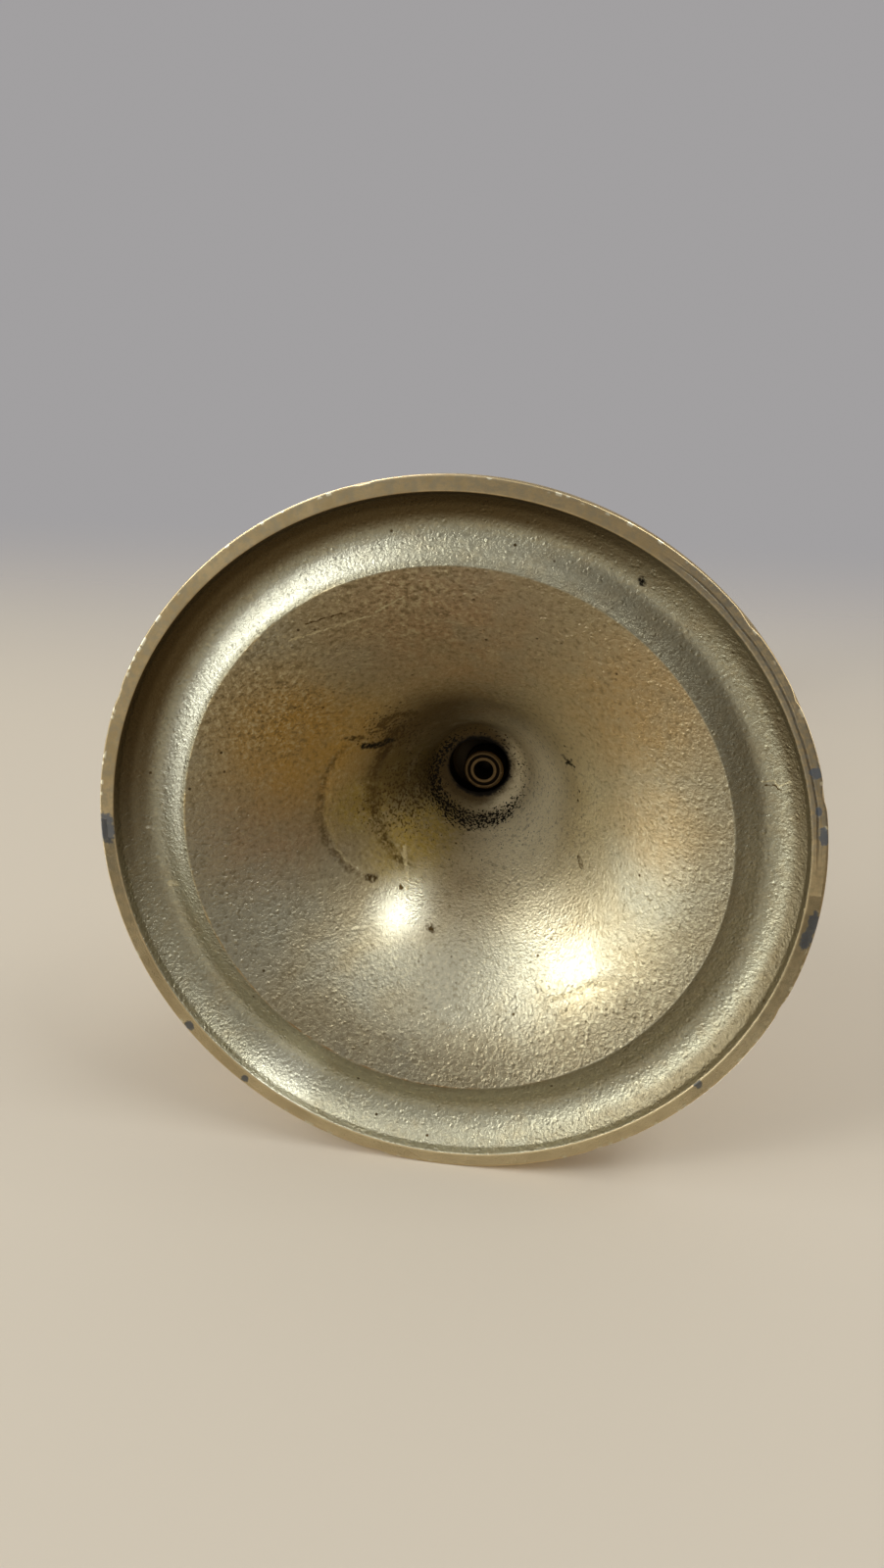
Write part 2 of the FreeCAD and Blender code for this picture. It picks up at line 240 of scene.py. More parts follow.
class Shader:
    """A material's node tree, with short calls for the nodes used here."""

    def __init__(self, name):
        self.material = bpy.data.materials.new(name)
        self.material.use_nodes = True
        self.tree = self.material.node_tree
        self.tree.nodes.clear()
        self.output = self.node("ShaderNodeOutputMaterial")
        self.place = self.node("ShaderNodeTexCoord").outputs["Object"]
        parts = self.node("ShaderNodeSeparateXYZ", Vector=self.place)
        self.x, self.y, self.z = parts.outputs
        flat = self.node("ShaderNodeCombineXYZ", X=self.x, Y=self.y)
        self.radius = self.node("ShaderNodeVectorMath", "LENGTH", Vector=flat.outputs[0]).outputs["Value"]

    def node(self, kind, mode=None, **inputs):
        made = self.tree.nodes.new(kind)
        if mode:
            made.operation = mode
        for name, value in inputs.items():
            self.give(made.inputs[name.replace("_", " ")], value)
        return made

    def give(self, socket, value):
        if isinstance(value, bpy.types.NodeSocket):
            self.tree.links.new(value, socket)
        else:
            socket.default_value = value

    def math(self, mode, first, second=0.0, third=0.0, clamp=False):
        made = self.node("ShaderNodeMath", mode)
        made.use_clamp = clamp
        for socket, value in zip(made.inputs, (first, second, third)):
            self.give(socket, value)
        return made.outputs[0]

    def vector(self, mode, first, second):
        made = self.node("ShaderNodeVectorMath", mode)
        self.give(made.inputs[0], first)
        self.give(made.inputs["Scale" if mode == "SCALE" else 1], second)
        return made

    def times(self, first, second):
        return self.math("MULTIPLY", first, second)

    def most(self, first, second):
        return self.math("MAXIMUM", first, second)

    def noise(self, size, detail=3.0, roughness=0.55, vector=None, distortion=0.0):
        """Noise whose features are about this many millimetres wide."""
        made = self.node("ShaderNodeTexNoise", Vector=vector or self.place, Scale=1 / (size * MM),
                         Detail=detail, Roughness=roughness, Distortion=distortion)
        return made.outputs["Fac"]

    def cells(self, size):
        """The distance from the nearest of many points, which lie about this many millimetres apart."""
        made = self.node("ShaderNodeTexVoronoi", Vector=self.place, Scale=1 / (size * MM))
        return made.outputs["Distance"]

    def ramp(self, value, low, high, start=0.0, end=1.0):
        """value mapped smoothly from low..high to start..end."""
        made = self.node("ShaderNodeMapRange")
        made.interpolation_type = "SMOOTHSTEP"
        for name, number in (("Value", value), ("From Min", low), ("From Max", high),
                             ("To Min", start), ("To Max", end)):
            self.give(made.inputs[name], number)
        return made.outputs[0]

    def mix(self, share, first, second):
        """first turning to second as share goes from 0 to 1; both are colours."""
        made = self.tree.nodes.new("ShaderNodeMix")
        made.data_type = "RGBA"
        for index, value in ((0, share), (6, first), (7, second)):
            self.give(made.inputs[index], value if index == 0 else as_colour(value))
        return made.outputs[2]

    def near(self, x, y, size):
        """1 round a place given in millimetres, falling to 0 at size millimetres from it in plan."""
        return self.ramp(self.distance(x, y), size * MM, 0.2 * size * MM)

    def sector(self, middle, spread):
        """1 in the middle of a sector about the axis, falling smoothly to 0 at its sides; both in degrees."""
        middle = math.radians(middle)
        along = self.times(self.x, math.cos(middle))
        along = self.math("MULTIPLY_ADD", self.y, math.sin(middle), along)
        cosine = self.math("DIVIDE", along, self.most(self.radius, 1e-4))
        return self.ramp(cosine, math.cos(math.radians(spread)), math.cos(math.radians(0.35 * spread)))

    def ring_line(self, radius, width):
        """A soft line round the axis."""
        gap = self.math("ABSOLUTE", self.math("SUBTRACT", self.radius, radius * MM))
        return self.ramp(gap, width * MM, 0.2 * width * MM)

    def turn_from(self, middle):
        """The angle round the axis in radians, from this many degrees, between -pi and pi."""
        middle = math.radians(middle)
        ahead = self.times(self.x, math.cos(middle))
        ahead = self.math("MULTIPLY_ADD", self.y, math.sin(middle), ahead)
        aside = self.times(self.x, -math.sin(middle))
        aside = self.math("MULTIPLY_ADD", self.y, math.cos(middle), aside)
        return self.math("ARCTAN2", aside, ahead)

    def crease_line(self, crease, aside, width, start=-1.0, end=1.0):
        """A wandering line beside a crease, between two shares of the crease's half length."""
        radius, droop, middle, spread = crease
        turn = self.math("DIVIDE", self.turn_from(middle), math.radians(spread))
        sag = self.times(self.times(turn, turn), droop * MM)
        wander = self.math("MULTIPLY_ADD", self.noise(2.5, detail=3.0), 0.0016, -0.0008)
        gap = self.math("ADD", self.math("ADD", self.radius, wander), sag)
        gap = self.math("SUBTRACT", gap, (radius + aside) * MM)
        line = self.ramp(self.math("ABSOLUTE", gap), width * MM, 0.1 * width * MM)
        ends = self.times(self.ramp(turn, start, start + 0.3), self.ramp(turn, end, end - 0.3))
        return self.times(line, ends)

    def ragged_place(self, reach):
        """The place in plan, shifted to and fro by up to about this many millimetres."""
        shift = self.node("ShaderNodeTexNoise", Vector=self.place, Scale=1 / (0.9 * MM), Detail=3.0)
        centred = self.vector("SUBTRACT", shift.outputs["Color"], (0.5, 0.5, 0.5))
        scaled = self.vector("SCALE", centred.outputs[0], 2.5 * reach * MM)
        moved = self.vector("ADD", self.place, scaled.outputs[0])
        x, y, _ = self.node("ShaderNodeSeparateXYZ", Vector=moved.outputs[0]).outputs
        return self.node("ShaderNodeCombineXYZ", X=x, Y=y).outputs[0]

    def stroke(self, places, width, here):
        """A line through a few places in plan, in millimetres, as seen from the place here."""
        nearest = 1.0
        for start, end in zip(places, places[1:]):
            start = Vector((*start, 0)) * MM
            run = Vector((*end, 0)) * MM - start
            offset = self.vector("SUBTRACT", here, start).outputs[0]
            along = self.vector("DOT_PRODUCT", offset, run / run.length_squared)
            share = self.math("ADD", along.outputs["Value"], 0.0, clamp=True)
            closest = self.vector("SCALE", run, share)
            gap = self.vector("DISTANCE", offset, closest.outputs[0])
            nearest = self.math("MINIMUM", nearest, gap.outputs["Value"])
        return self.ramp(nearest, width * MM, 0.35 * width * MM)

    def distance(self, x, y):
        """The distance in plan from a place given in millimetres."""
        centre = self.node("ShaderNodeCombineXYZ", X=x * MM, Y=y * MM)
        here = self.node("ShaderNodeCombineXYZ", X=self.x, Y=self.y)
        return self.vector("DISTANCE", here.outputs[0], centre.outputs[0]).outputs["Value"]

    def bump(self, height, depth, normal=None):
        """Height from 0 to 1 as relief this many millimetres deep."""
        made = self.node("ShaderNodeBump", Height=height, Distance=depth * MM, Strength=1.0)
        if normal:
            self.give(made.inputs["Normal"], normal)
        return made.outputs[0]

    def turned_lines(self, pitch):
        """Fine lines round the axis, as a tool leaves them."""
        across = self.node("ShaderNodeCombineXYZ", X=self.radius, Y=0.0, Z=self.z).outputs[0]
        return self.noise(pitch, detail=2.0, vector=across)

    def metal(self, colour, roughness, normal=None, metallic=1.0, **settings):
        made = self.node("ShaderNodeBsdfPrincipled", Metallic=metallic, Roughness=roughness)
        self.give(made.inputs["Base Color"], as_colour(colour))
        for name, value in settings.items():
            self.give(made.inputs[name.replace("_", " ")], value)
        if normal:
            self.give(made.inputs["Normal"], normal)
        self.give(self.output.inputs["Surface"], made.outputs[0])
        return made


def as_colour(value):
    if isinstance(value, tuple) and len(value) == 3:
        return (*value, 1.0)
    return value


OLIVE = (0.48, 0.40, 0.255)
BUMP_SHADE_OLIVE = (0.22, 0.175, 0.09)
GREY_OLIVE = (0.48, 0.445, 0.335)
GREY_GREEN = (0.52, 0.49, 0.365)
RED_BROWN = (0.52, 0.368, 0.225)
PALE_OLIVE = (0.93, 0.81, 0.56)
YELLOW_OLIVE = (0.56, 0.43, 0.13)
PALE_BRASS = (0.78, 0.70, 0.47)
ORANGE_BROWN = (0.63, 0.40, 0.125)
PINK_BROWN = (0.58, 0.415, 0.215)
DARK_BROWN = (0.085, 0.055, 0.022)
SOOT = (0.012, 0.010, 0.008)
STAIN = (0.13, 0.085, 0.032)
PAINT = (0.045, 0.062, 0.092)
AGED_BRASS = (0.60, 0.455, 0.225)
RUBBED_BRASS = (0.74, 0.58, 0.31)
BROWNED_BRASS = (0.36, 0.25, 0.115)
PIT_BROWN = (0.05, 0.036, 0.02)
DUSKY_OLIVE = (0.24, 0.20, 0.13)
DIM_OLIVE = (0.20, 0.17, 0.11)
THROAT_SHADE_BROWN = (0.22, 0.17, 0.085)
DEEP_YELLOW = (0.17, 0.125, 0.045)
RIDGE_BROWN = (0.34, 0.20, 0.08)
PEBBLE_HIGHLIGHT = (0.84, 0.75, 0.50)
PIMPLE_GLINT = (0.95, 0.90, 0.72)
HIGHLIGHT_SKIN = (0.92, 0.90, 0.74)
FLANK_HIGHLIGHT = (0.90, 0.88, 0.74)
FOLD_SHADE_OLIVE = (0.30, 0.25, 0.15)
PALE_NICK = (0.68, 0.64, 0.50)

# Two curved creases left where the metal ran together as it was poured. Each is its radius at the
# middle, how much less its radius is at its ends, the middle and the half length in degrees.
OUTER_CREASE = (26.0, 3.2, 175, 37)
INNER_CREASE = (18.4, 0.2, 170, 50)


def cast_underside():
    """Sand-cast brass, never polished: grain, pimples, tarnish from grey-olive to orange with a painted warm
    reflection in it, painted highlights, painted shade, soot by the pit.
    """
    s = Shader("cast_underside")
    patches = s.noise(22, detail=4.0, distortion=0.5)
    fine = s.noise(4.0, detail=5.0, roughness=0.65)
    tiny = s.noise(0.9, detail=4.0, roughness=0.65)
    in_dish = s.ramp(s.radius, 0.0463, 0.0459)
    in_channel = s.math("SUBTRACT", 1.0, in_dish)

    colour = s.mix(s.ramp(patches, 0.35, 0.65), OLIVE, GREY_OLIVE)
    # Red-brown, orange and pink-brown on the upper half and the sides: partly tarnish, partly a painted warm
    # reflection.
    for x, y, size, least, greatest in ((-2, -33, 26, 0.5, 1.0), (-33, 2, 17, 0.3, 0.8)):
        share = s.times(s.near(x, y, size), s.ramp(fine, 0.3, 0.7, least, greatest))
        colour = s.mix(share, colour, RED_BROWN)
    left = s.near(-27, -13, 20)
    right = s.most(s.near(28, -24, 22), s.ramp(s.distance(35, -4), 0.015, 0.003, 0.0, 0.75))
    uneven = s.ramp(fine, 0.25, 0.65, 0.6, 1.0)
    colour = s.mix(s.times(left, uneven), colour, ORANGE_BROWN)
    colour = s.mix(s.times(right, uneven), colour, PINK_BROWN)
    colour = s.mix(in_dish, GREY_GREEN, colour)
    colour = s.mix(s.times(in_channel, s.ramp(fine, 0.45, 0.7, 0.0, 0.5)), colour, OLIVE)
    # The side of the throat that faces the light is paler, and a yellow patch lies between the creases.
    pale = s.times(s.sector(20, 105), s.ramp(s.radius, 0.029, 0.018, 0.0, 0.85))
    colour = s.mix(pale, colour, PALE_OLIVE)
    yellow = s.most(s.near(-11, 10, 11), s.near(-20, 2, 8))
    colour = s.mix(s.times(yellow, s.ramp(tiny, 0.35, 0.6, 0.35, 0.95)), colour, YELLOW_OLIVE)
    outer = s.times(s.sector(55, 100), s.ramp(s.radius, 0.0355, 0.043, 0.0, 0.68))
    colour = s.mix(s.times(outer, in_dish), colour, DUSKY_OLIVE)
    # The skin's bumps get a painted highlight on top and painted shade between, and there are a few brown
    # specks.
    skin = s.noise(0.85, detail=4.0, roughness=0.62)
    colour = s.mix(s.ramp(skin, 0.50, 0.70, 0.0, 0.40), colour, PALE_BRASS)
    colour = s.mix(s.times(s.ramp(skin, 0.48, 0.32), s.ramp(in_dish, 0.0, 1.0, 0.25, 0.50)),
                   colour, BUMP_SHADE_OLIVE)
    # Pebbled patches on the upper left and top: painted highlight on the bump tops and painted shade between.
    pebble_light_and_shade = s.times(s.most(s.near(-37, -24, 20), s.near(-10, -43, 18)), in_dish)
    for low, high, tone in ((0.52, 0.64, PEBBLE_HIGHLIGHT), (0.47, 0.38, BUMP_SHADE_OLIVE)):
        share = s.times(pebble_light_and_shade, s.ramp(skin, low, high, 0.0, 0.50))
        colour = s.mix(share, colour, tone)
    specks = s.times(s.ramp(s.cells(2.6), 0.14, 0.06), s.ramp(s.noise(9), 0.50, 0.62))
    colour = s.mix(specks, colour, DARK_BROWN)
    # Painted glints on pimples, scattered over the left side.
    glints = s.times(s.ramp(s.cells(1.3), 0.15, 0.07), s.ramp(s.noise(3.0), 0.50, 0.60))
    glints = s.times(glints, s.most(s.near(-33, 8, 22), s.near(-14, -8, 10)))
    colour = s.mix(glints, colour, PIMPLE_GLINT)

    # Brown stain between the pit and the creases, and painted shade in the corner of the channel under the
    # rim.
    stain = s.times(s.sector(215, 75), s.ramp(s.radius, 0.026, 0.017))
    stain = s.times(stain, s.ramp(fine, 0.25, 0.55, 0.5, 0.85))
    colour = s.mix(stain, colour, STAIN)
    # Painted shade in the throat, darkest on the side away from the light.
    throat_shade = s.ramp(s.math("ADD", s.radius, s.times(fine, 0.004)), 0.0135, 0.0100, 0.0, 0.85)
    throat_shade = s.times(throat_shade, s.ramp(s.sector(5, 110), 0.0, 1.0, 1.0, 0.3))
    colour = s.mix(throat_shade, colour, THROAT_SHADE_BROWN)
    shade = s.times(s.near(-12, -2, 10), s.ramp(fine, 0.3, 0.6, 0.5, 0.85))
    colour = s.mix(shade, colour, DEEP_YELLOW)
    # Painted shade round the pit on the upper left.
    pit_shade = s.times(s.sector(205, 130), s.ramp(s.radius, 0.0125, 0.0085, 0.0, 0.8))
    colour = s.mix(pit_shade, colour, STAIN)
    flecked = s.most(s.near(-14.5, -12.5, 7.5), s.near(-12.5, 2, 11))
    flecks = s.math("ADD", s.noise(0.6, detail=3.0), s.times(flecked, 0.13))
    flecks = s.times(s.ramp(flecks, 0.61, 0.69, 0.0, 0.9), s.ramp(flecked, 0.0, 0.25))
    colour = s.mix(flecks, colour, DARK_BROWN)
    # Painted shade in the channel's corner under the rim, darkest on the upper left.
    channel_corner_shade = s.times(s.sector(240, 88), s.ramp(s.radius, 0.0514, 0.0545))
    far_corner_shade = s.times(s.sector(8, 80), s.ramp(s.radius, 0.0540, 0.0560, 0.0, 0.80))
    inner_edge_shade = s.times(s.sector(250, 150), s.ramp(s.radius, 0.0558, 0.0572, 0.0, 0.35))
    channel_corner_shade = s.most(channel_corner_shade, s.most(far_corner_shade, inner_edge_shade))
    colour = s.mix(s.times(channel_corner_shade, 0.92), colour, STAIN)
    deepest_shade = s.times(s.sector(240, 85), s.ramp(s.radius, 0.0552, 0.0562, 0.0, 0.75))
    colour = s.mix(deepest_shade, colour, DARK_BROWN)
    # A painted highlight where the dish's two highlights fall and on a patch in the channel; these places are
    # also made smoother below.
    left_shine = s.near(-11, 20, 8)
    right_shine = s.near(21, 24, 11)
    rubbed_highlight = s.near(-30, 48, 10)
    colour = s.mix(s.times(s.most(rubbed_highlight, left_shine), 0.6), colour, HIGHLIGHT_SKIN)
    # Along the creases: a dark band, partly deposit and partly painted shade, and a thin pale line, a painted
    # highlight on each crease's lit edge.
    for crease, aside, width, start, end, share, tone in (
            (OUTER_CREASE, 0.5, 1.1, -1.0, 1.0, 0.70, STAIN),
            (INNER_CREASE, 0.4, 1.4, -1.0, 1.3, 0.85, DARK_BROWN),
            (OUTER_CREASE, -0.2, 0.28, -1.0, -0.1, 0.8, PALE_BRASS),
            (INNER_CREASE, -0.1, 0.30, -1.0, -0.35, 0.8, PALE_BRASS)):
        line = s.times(s.crease_line(crease, aside, width, start, end), s.ramp(tiny, 0.36, 0.60))
        colour = s.mix(s.times(line, share), colour, tone)
    here = s.ragged_place(0.35)
    for marks, width, tone in cast_marks():
        mark = s.times(s.stroke(marks, width, here), s.ramp(tiny, 0.32, 0.55))
        colour = s.mix(mark, colour, tone)
    # A painted shadow line in the channel beside the ridge.
    ridge_shadow_line = s.times(s.ramp(s.radius, 0.0460, 0.0464), s.ramp(s.radius, 0.0486, 0.0466, 0.0, 0.42))
    colour = s.mix(ridge_shadow_line, colour, DIM_OLIVE)
    # On the channel's inner flank: a painted highlight on the left side, and darker olive on the right.
    flank = s.times(s.ramp(s.radius, 0.0466, 0.0476), s.ramp(s.radius, 0.0520, 0.0503))
    for middle, spread, strength, tone in ((214, 56, 0.62, FLANK_HIGHLIGHT), (320, 40, 0.5, DIM_OLIVE)):
        share = s.times(flank, s.sector(middle, spread))
        colour = s.mix(s.times(share, strength), colour, tone)
    # The ridge is rubbed bright on one side and browned on another.
    ridge = s.times(s.ring_line(46.2, 0.26), s.ramp(fine, 0.40, 0.65, 0.1, 0.8))
    for middle, spread, tone in ((190, 75, RUBBED_BRASS), (115, 60, RIDGE_BROWN)):
        colour = s.mix(s.times(ridge, s.sector(middle, spread)), colour, tone)
    # Soot lies in a broken ring round the pit, most of it on the lower left side.
    soot_gap = s.math("ABSOLUTE", s.math("SUBTRACT", s.distance(-0.8, 1.2), 0.0088))
    side = s.ramp(s.math("SUBTRACT", s.y, s.x), -0.006, 0.004, 0.35, 1.0)
    ring = s.times(s.ramp(soot_gap, 0.0021, 0.0003), side)
    soot = s.math("ADD", s.noise(0.48, detail=3.0), s.times(ring, 0.20))
    soot = s.times(s.ramp(soot, 0.64, 0.70), s.ramp(s.radius, 0.020, 0.014))
    # The pit's mouth is browned all round: partly deposit and partly painted shade, weakest on the side the
    # light falls on.
    edge = s.math("ADD", s.distance(-0.9, -0.5), s.math("MULTIPLY_ADD", tiny, 0.0016, -0.0008))
    browned_and_shaded = s.times(s.ramp(edge, 0.0088, 0.0070), s.ramp(s.sector(15, 80), 0.0, 1.0, 0.9, 0.35))
    browned_and_shaded = s.most(browned_and_shaded, s.ramp(edge, 0.0080, 0.0068, 0.0, 0.7))
    colour = s.mix(browned_and_shaded, colour, DARK_BROWN)
    soot = s.most(soot, s.ramp(edge, 0.0068, 0.0060))
    colour = s.mix(soot, colour, SOOT)

    # Relief: fine grain everywhere, and a pebbled skin that is coarsest low on the right.
    worn = s.most(left_shine, s.times(right_shine, 0.8))
    coarse = s.most(s.near(28, 32, 24), s.near(-33, -21, 19))
    coarse = s.most(coarse, s.times(in_channel, 0.18))
    coarse = s.most(coarse, s.ramp(s.radius, 0.026, 0.040, 0.15, 0.65))
    coarse = s.times(coarse, s.math("SUBTRACT", 1.0, worn))
    pebbles = s.times(s.ramp(s.cells(1.0), 0.46, 0.05), s.ramp(s.noise(2.2), 0.38, 0.60))
    grain = s.noise(0.50, detail=3.0, roughness=0.6)
    grain = s.times(grain, s.ramp(in_channel, 0.0, 1.0, 1.0, 1.5))
    normal = s.bump(grain, 0.085)
    normal = s.bump(s.times(s.ramp(skin, 0.36, 0.64), coarse), 0.060, normal)
    normal = s.bump(s.times(pebbles, coarse), 0.13, normal)
    polish = s.most(s.times(left_shine, 0.10), s.times(right_shine, 0.11))
    polish = s.most(polish, s.times(rubbed_highlight, 0.08))
    roughness = s.math("SUBTRACT", s.ramp(fine, 0.25, 0.75, 0.32, 0.40), polish)
    throat = s.ramp(s.radius, 0.020, 0.011)
    roughness = s.math("MULTIPLY_ADD", throat, 0.12, roughness)
    roughness = s.most(roughness, s.times(soot, 0.85))
    metallic = s.math("SUBTRACT", 0.96, s.times(throat, 0.42))
    s.metal(colour, roughness, normal, s.times(metallic, s.math("SUBTRACT", 1.0, soot)),
            Specular_IOR_Level=0.12)
    return s.material


def cast_marks():
    """Small marks in the hollow: a chain of (x, y) places in millimetres, a width and a colour for each."""
    yield ((-27.5, -32.6), (-20.4, -35.0), (-14.3, -37.1)), 0.20, PALE_BRASS
    yield ((-13.6, -37.6), (-11.5, -38.9), (-8.6, -40.6)), 0.20, PALE_BRASS
    yield ((-24.5, -35.6), (-17.0, -38.0)), 0.20, STAIN
    yield ((-19.3, -10.0), (-17.5, -9.5), (-15.4, -10.0)), 0.95, SOOT
    yield ((-21.6, -12.2), (-19.5, -12.0)), 0.7, STAIN
    yield ((-16.4, -13.8), (-13.9, -16.0), (-10.7, -15.7)), 0.8, STAIN
    yield ((-15.6, -8.6), (-17.4, -6.0)), 0.7, DARK_BROWN
    # Painted shade along the fold below the right-hand highlight.
    yield ((18.4, 30.3), (22.2, 28.4), (24.4, 26.6), (27.0, 25.9)), 0.60, FOLD_SHADE_OLIVE
    # A painted highlight on the lit lip at the inner crease's lower end.
    yield ((-12.9, 11.6), (-12.3, 13.7), (-11.6, 15.8), (-11.2, 18.0)), 0.38, PALE_BRASS
    yield ((16.6, -9.9), (18.0, -8.6), (18.9, -8.3)), 0.40, SOOT
    yield ((17.4, -8.2), (18.3, -9.6)), 0.35, SOOT
    yield ((-18.2, 14.9), (-17.0, 15.4)), 0.80, DARK_BROWN
    yield ((-12.4, 17.4), (-12.1, 17.7)), 0.40, STAIN
    yield ((-6.3, 23.4), (-5.5, 24.0)), 0.75, DARK_BROWN
    yield ((20.9, 8.2), (21.3, 9.3)), 0.60, STAIN
    yield ((28.3, -45.1), (28.5, -44.5)), 0.75, SOOT
    yield ((49.3, -14.3), (51.0, -14.6), (52.0, -13.9), (53.4, -15.2)), 0.19, PALE_BRASS
    yield ((49.9, -13.8), (51.4, -13.9), (52.2, -13.2)), 0.20, STAIN
    yield ((-53.6, 1.6), (-52.8, 1.9)), 0.40, PALE_NICK
    yield ((-50.3, 12.2), (-48.9, 12.0)), 0.75, PALE_BRASS


RIM_TAN = (0.84, 0.68, 0.42)
RIM_BROWN = (0.56, 0.44, 0.26)
RIM_LIT_PALE = (0.98, 0.85, 0.56)
RIM_DULL = (0.40, 0.35, 0.25)
RIM_WARM = (0.95, 0.74, 0.42)
RIM_GREY = (0.33, 0.315, 0.27)
RIM_CHIP = (1.0, 0.92, 0.70)

# Each paint mark's middle and half length in degrees, its half width and its radius.
PAINT_MARKS = (
    (179.5, 3.2, 1.6, 58.9), (342.4, 1.1, 1.3, 59.2), (348.5, 0.7, 0.7, 58.7),
    (352.5, 1.8, 0.8, 59.3), (6.5, 2.2, 1.0, 59.3), (9.5, 2.0, 1.1, 58.9),
    (141, 1.2, 0.9, 59.1), (127.5, 0.8, 0.8, 59.1), (41, 0.9, 1.1, 57.9))


def faced_rim():
    """The rim's flat, turned true after casting: tan brass with tool lines, a long groove and paint marks."""
    s = Shader("faced_rim")
    lines = s.turned_lines(0.22)
    stain = s.noise(6, detail=5.0)
    ragged = s.noise(0.8, detail=4.0)
    colour = s.mix(s.ramp(stain, 0.35, 0.68), RIM_TAN, RIM_BROWN)
    colour = s.mix(s.ramp(lines, 0.55, 0.75, 0.0, 0.3), colour, BROWNED_BRASS)
    # Painted shade darkens the rim on the upper left and painted light makes it paler low on the right; it is
    # also duller away from the bottom, warmer at the bottom and browner on the right.
    colour = s.mix(s.times(s.sector(245, 100), 0.45), colour, BROWNED_BRASS)
    colour = s.mix(s.times(s.sector(55, 70), 0.6), colour, RIM_LIT_PALE)
    low = s.sector(95, 85)
    dulled = s.times(s.ramp(s.noise(1.8, detail=5.0, roughness=0.7), 0.42, 0.62),
                    s.ramp(low, 0.0, 1.0, 0.6, 0.1))
    colour = s.mix(dulled, colour, RIM_DULL)
    colour = s.mix(s.times(low, 0.6), colour, RIM_WARM)
    colour = s.mix(s.times(s.sector(0, 32), 0.4), colour, BROWNED_BRASS)
    # A rubbed groove runs along the rim for about an eighth of a turn, with greyed metal beside it.
    turn = s.math("ABSOLUTE", s.turn_from(-30))
    worn_arc = s.ramp(turn, 0.52, 0.34)
    wander = s.times(s.math("SUBTRACT", s.noise(14, detail=2.0), 0.5), 0.0011)
    gap = s.math("ABSOLUTE", s.math("ADD", s.math("SUBTRACT", s.radius, 58.55 * MM), wander))
    scratch = s.times(s.ramp(gap, 0.26 * MM, 0.08 * MM), worn_arc)
    colour = s.mix(s.times(scratch, s.ramp(ragged, 0.25, 0.5, 0.45, 0.9)), colour, DARK_BROWN)
    greyed = s.times(worn_arc, s.ramp(ragged, 0.35, 0.62, 0.1, 0.65))
    colour = s.mix(greyed, colour, RIM_GREY)
    chips = s.times(s.ramp(s.cells(1.7), 0.34, 0.22), s.ramp(s.radius, 0.0593, 0.0597))
    colour = s.mix(chips, colour, RIM_CHIP)
    # Paint marks are drawn out along the rim, and broken at their edges.
    paint = 0.0
    for middle, length, width, radius in PAINT_MARKS:
        along = s.math("DIVIDE", s.turn_from(middle), math.radians(length))
        across = s.math("DIVIDE", s.math("SUBTRACT", s.radius, radius * MM), width * MM)
        reach = s.math("ADD", s.times(along, along), s.times(across, across))
        paint = s.most(paint, s.ramp(reach, 1.6, 0.0))
    paint = s.ramp(s.math("ADD", paint, s.times(s.math("SUBTRACT", ragged, 0.5), 2.0)), 0.35, 0.75)
    colour = s.mix(s.times(paint, 0.85), colour, PAINT)
    relief = s.math("SUBTRACT", lines, s.times(scratch, 3.0))
    metallic = s.math("SUBTRACT", 1.0, paint)
    s.metal(colour, s.ramp(stain, 0.3, 0.7, 0.30, 0.42), s.bump(relief, 0.03), metallic)
    return s.material


def turned_brass(name, base, deep, tarnish, roughness):
    """Turned and rubbed brass: lines round the axis, tarnish in the hollows and a soft mottle."""
    s = Shader(name)
    hollow = s.node("ShaderNodeAttribute")
    hollow.attribute_name = "hollow"
    lines = s.turned_lines(0.16)
    mottle = s.noise(9, detail=5.0, distortion=0.5)
    fine = s.noise(1.3, detail=4.0)
    dirt = s.ramp(hollow.outputs["Fac"], 0.52, 0.85)
    dirt = s.times(dirt, s.ramp(fine, 0.25, 0.6, 0.5, 1.0))
    dulled = s.ramp(mottle, 0.40, 0.72, 0.0, tarnish)
    colour = s.mix(dulled, base, deep)
    colour = s.mix(s.ramp(lines, 0.5, 0.8, 0.0, 0.25), colour, deep)
    colour = s.mix(s.times(dirt, 0.8), colour, DARK_BROWN)
    rough = s.math("ADD", s.ramp(mottle, 0.3, 0.75, roughness, roughness + 0.12),
                   s.times(dirt, 0.25))
    normal = s.bump(s.noise(6, detail=2.0), 0.02)
    normal = s.bump(lines, 0.006, normal)
    shader = s.metal(colour, rough, normal)
    shader.inputs["Anisotropic"].default_value = 0.45
    tangent = s.node("ShaderNodeTangent")
    tangent.direction_type = "RADIAL"
    tangent.axis = "Z"
    s.give(shader.inputs["Tangent"], tangent.outputs[0])
    return s.material


ROD_BROWN = (0.145, 0.095, 0.045)
ROD_DARK = (0.060, 0.038, 0.017)
ROD_RUBBED = (0.19, 0.12, 0.052)
ROD_GROOVE = (0.012, 0.008, 0.005)


def rod_end():
    """The rod's turned end, browned by age: dark rings from the tool, paler where they are rubbed."""
    s = Shader("rod_browned_brass")
    rings = s.turned_lines(0.5)
    fine = s.noise(0.9, detail=4.0)
    colour = s.mix(s.ramp(rings, 0.42, 0.58), ROD_BROWN, ROD_DARK)
    colour = s.mix(s.ramp(fine, 0.52, 0.66, 0.0, 0.7), colour, ROD_RUBBED)
    colour = s.mix(s.ring_line(2.92, 0.5), colour, ROD_GROOVE)
    s.metal(colour, 0.34, s.bump(rings, 0.06))
    return s.material


# ---------------------------------------------------------------- the foot

CAST, FACED, TURNED, BORED = range(4)


